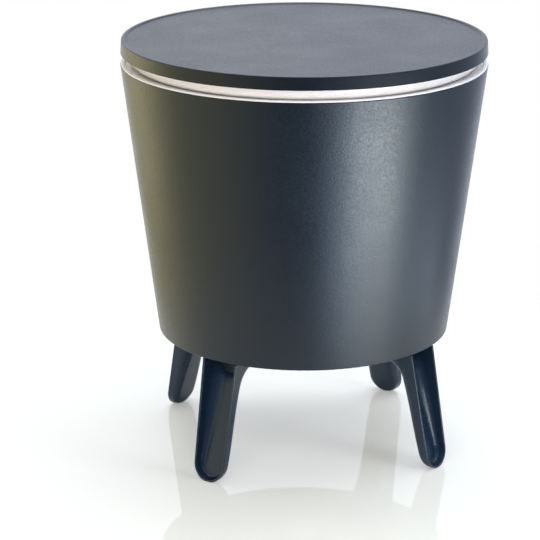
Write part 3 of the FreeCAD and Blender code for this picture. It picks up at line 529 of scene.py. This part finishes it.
class SetStage(bpy.types.Operator):
    """Sets the floor, the soft light and the camera of a product photograph"""
    bl_idname = "table.set_stage"
    bl_label = "Photo stage"

    def execute(self, context):
        self.make_floor(context)
        self.make_world(context)
        self.make_lamps(context)
        self.make_camera(context)
        context.scene.view_settings.view_transform = "Standard"
        return {"FINISHED"}

    def make_floor(self, context):
        """Acrylic sheet sprayed white: its clear face mirrors the legs over a white ground."""
        mesh = bpy.data.meshes.new("floor")
        form = bmesh.new()
        bmesh.ops.create_circle(form, cap_ends=True, radius=FLOOR_RADIUS,
                                segments=FLOOR_SEGMENTS)
        form.to_mesh(mesh)
        form.free()
        material, tree, shader, place = blank_material("white_sprayed_acrylic")
        shader.inputs["Base Color"].default_value = (*linear("#F7F6E8"), 1.0)
        shader.inputs["Roughness"].default_value = 0.03
        shader.inputs["IOR"].default_value = 1.7
        away = node(tree, "ShaderNodeVectorMath", {"operation": "LENGTH"}, {0: place})
        fade = node(tree, "ShaderNodeMapRange", {"interpolation_type": "SMOOTHSTEP"},
                    {"Value": away.outputs["Value"], "From Min": FLOOR_FADE_START,
                     "From Max": FLOOR_FADE_END})
        clear = node(tree, "ShaderNodeBsdfTransparent")
        # The camera sees the white sweep faintly through the sheet, which keeps shadows pale
        paths = node(tree, "ShaderNodeLightPath").outputs
        veil = node(tree, "ShaderNodeMath", {"operation": "MULTIPLY"},
                    {0: paths["Is Camera Ray"], 1: FLOOR_VEIL})
        clearness = node(tree, "ShaderNodeMath", {"operation": "MAXIMUM"},
                         {0: fade.outputs["Result"], 1: veil.outputs["Value"]})
        mixed = node(tree, "ShaderNodeMixShader", None,
                     {0: clearness.outputs["Value"], 1: shader.outputs["BSDF"],
                      2: clear.outputs["BSDF"]})
        tree.links.new(mixed.outputs["Shader"], tree.nodes["Material Output"].inputs["Surface"])
        mesh.materials.append(material)
        floor = bpy.data.objects.new("floor", mesh)
        floor.location.z = -FLOOR_DROP
        context.scene.collection.objects.link(floor)

    def make_world(self, context):
        """A studio room: pale behind and above, warm on the left, dark behind the camera."""
        turn = context.scene.table_stage.camera_turn
        world = bpy.data.worlds.new("studio")
        world.use_nodes = True
        tree = world.node_tree
        tree.nodes.clear()
        direction = node(tree, "ShaderNodeTexCoord").outputs["Generated"]
        paths = node(tree, "ShaderNodeLightPath").outputs
        light = DARK_ROOM
        for degrees, rise, edge, middle, colour, level, gloss_level in ROOM_LIGHT:
            toward = bearing(turn + math.radians(degrees), math.radians(rise))
            facing = node(tree, "ShaderNodeVectorMath", {"operation": "DOT_PRODUCT"},
                          {0: direction, 1: toward})
            strength = node(tree, "ShaderNodeMapRange", None,
                            {"Value": paths["Is Glossy Ray"], "To Min": level,
                             "To Max": gloss_level})
            glow = node(tree, "ShaderNodeMapRange", {"interpolation_type": "SMOOTHSTEP"},
                        {"Value": facing.outputs["Value"], "From Min": edge, "From Max": middle,
                         "To Max": strength.outputs["Result"]})
            tinted = node(tree, "ShaderNodeVectorMath", {"operation": "SCALE"},
                          {0: linear(colour), "Scale": glow.outputs["Result"]})
            added = node(tree, "ShaderNodeVectorMath", {"operation": "ADD"},
                         {0: light, 1: tinted.outputs["Vector"]})
            light = added.outputs["Vector"]
        # The camera sees the white sweep all round, and so does anything clear
        seen = node(tree, "ShaderNodeMath", {"operation": "MAXIMUM"},
                    {0: paths["Is Camera Ray"], 1: paths["Is Transmission Ray"]})
        shown = node(tree, "ShaderNodeVectorMath", {"operation": "MAXIMUM"},
                     {0: light, 1: seen.outputs["Value"]})
        background = node(tree, "ShaderNodeBackground", None, {"Color": shown.outputs["Vector"]})
        output = node(tree, "ShaderNodeOutputWorld")
        tree.links.new(background.outputs["Background"], output.inputs["Surface"])
        context.scene.world = world

    def make_lamps(self, context):
        turn = context.scene.table_stage.camera_turn
        for name, degrees, distance, height, size, watts, colour, on_matt, in_gloss in LAMPS:
            area_lamp(name, turn + math.radians(degrees), distance, height, size, watts,
                      linear(colour), on_matt, in_gloss)

    def make_camera(self, context):
        stage = context.scene.table_stage
        data = bpy.data.cameras.new("camera")
        data.sensor_width = 36.0
        data.lens = stage.lens
        camera = bpy.data.objects.new("camera", data)
        context.scene.collection.objects.link(camera)
        turn = stage.camera_turn
        spot = Vector((stage.camera_distance * math.sin(turn),
                       -stage.camera_distance * math.cos(turn), stage.camera_height))
        camera.matrix_world = (Matrix.Translation(spot)
                               @ Matrix.Rotation(turn + stage.camera_pan, 4, "Z")
                               @ Matrix.Rotation(math.pi / 2 - stage.camera_tilt, 4, "X"))
        context.scene.camera = camera


class TablePanel(bpy.types.Panel):
    """Lists the steps that dress the table"""
    bl_idname = "VIEW3D_PT_ice_table"
    bl_label = "Ice bucket table"
    bl_space_type = "VIEW_3D"
    bl_region_type = "UI"
    bl_category = "Table"

    def draw(self, context):
        for settings in (context.scene.table_finish, context.scene.table_stage):
            for name in settings.__annotations__:
                self.layout.prop(settings, name)
        for step in STEPS:
            self.layout.operator(step.bl_idname)


STEPS = (FinishBucket, FinishLegs, FinishTop, FinishLiner, FinishFittings, FitScrews, SetStage)
CLASSES = (FinishSettings, StageSettings, *STEPS, TablePanel)


def register():
    for item in CLASSES:
        bpy.utils.register_class(item)
    bpy.types.Scene.table_finish = bpy.props.PointerProperty(type=FinishSettings)
    bpy.types.Scene.table_stage = bpy.props.PointerProperty(type=StageSettings)


def unregister():
    del bpy.types.Scene.table_stage
    del bpy.types.Scene.table_finish
    for item in reversed(CLASSES):
        bpy.utils.unregister_class(item)


def main():
    register()
    for step in STEPS:
        family, name = step.bl_idname.split(".")
        getattr(getattr(bpy.ops, family), name)()


if __name__ == "__main__":
    main()
